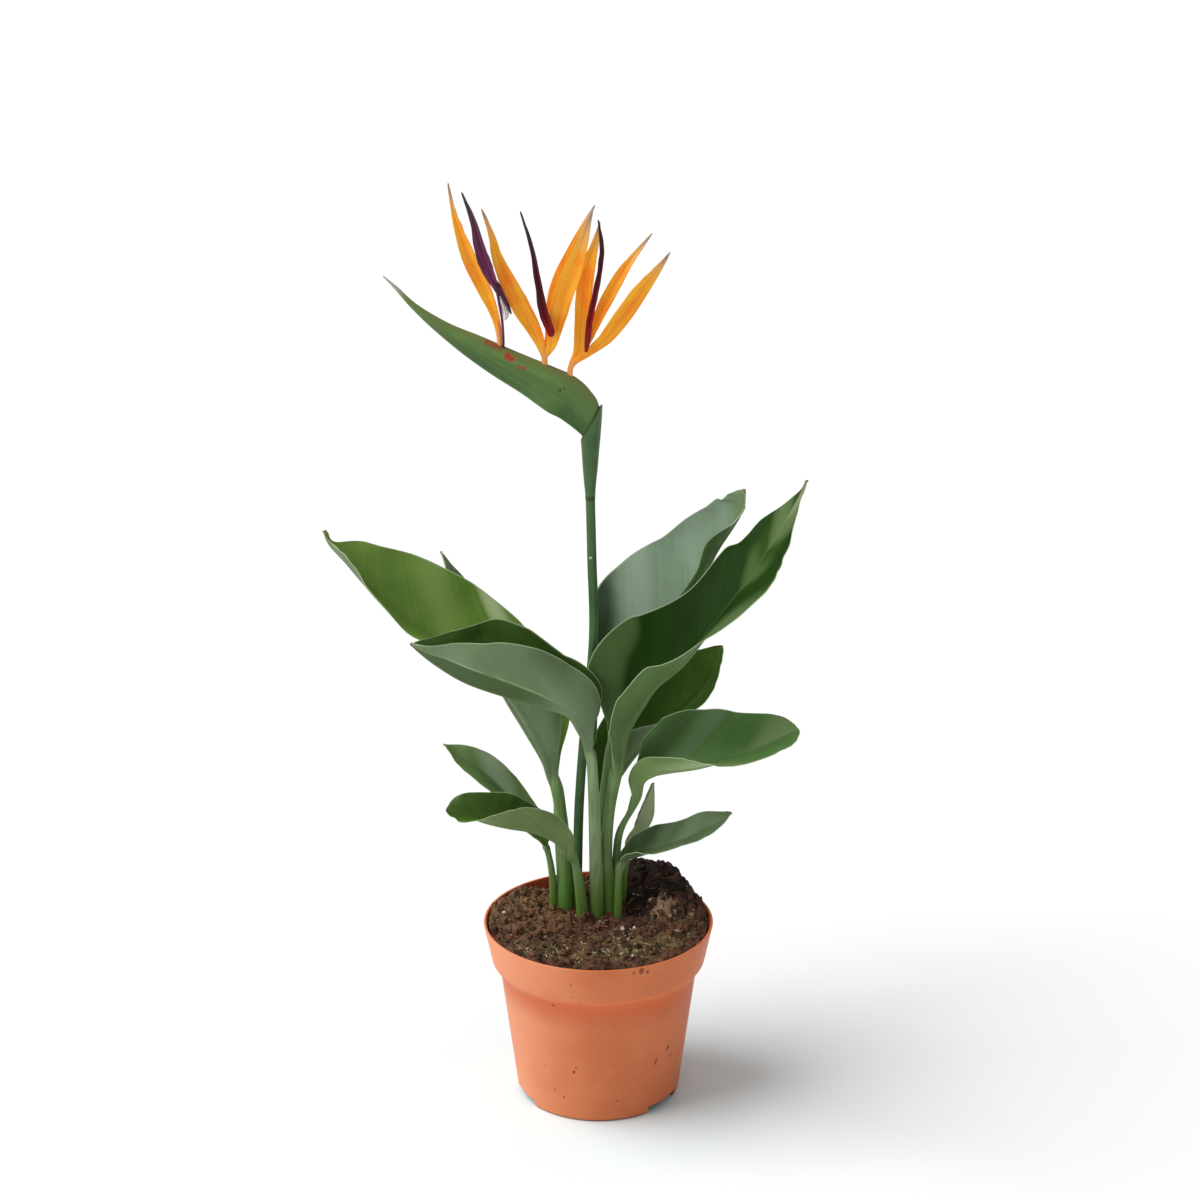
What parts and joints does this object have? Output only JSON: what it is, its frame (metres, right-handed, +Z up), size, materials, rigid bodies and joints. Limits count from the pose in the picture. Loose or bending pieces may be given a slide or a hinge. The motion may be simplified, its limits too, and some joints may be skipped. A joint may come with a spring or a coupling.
{
  "type": "potted house plant",
  "caption": "Potted bird of paradise: broad upright leaves and one tall stalk whose beak-shaped green spathe holds orange sepals and dark purple petals, in a round plastic nursery pot.",
  "frame": {"origin": "where the pot's axis meets the surface it stands on", "axes": "+Z up along the pot's axis, -Y towards the viewer of the picture, +X to the viewer's right"},
  "size_m": [0.2878, 0.1585, 0.5631],
  "materials": {
    "pot_plastic": "satin terracotta-coloured plastic",
    "soil": "rough, crumbly",
    "leaf": "satin, leathery",
    "flower_stalk": "satin",
    "spathe": "satin",
    "sepal": "soft satin",
    "petal": "soft satin"
  },
  "bodies": {
    "root": {"pot": "pot_plastic", "soil": "soil", "flower_stalk": "flower_stalk", "stalk_sheath": "flower_stalk", "spathe": "spathe", "leaf_01": "leaf", "leaf_02": "leaf", "leaf_03": "leaf", "leaf_04": "leaf", "leaf_05": "leaf", "leaf_06": "leaf", "leaf_07": "leaf", "leaf_08": "leaf", "leaf_09": "leaf", "leaf_10": "leaf", "leaf_11": "leaf", "sepals_1": "sepal", "sepals_2": "sepal", "sepals_3": "sepal", "petals_1": "petal", "petals_2": "petal", "petals_3": "petal"}
  },
  "joints": []
}
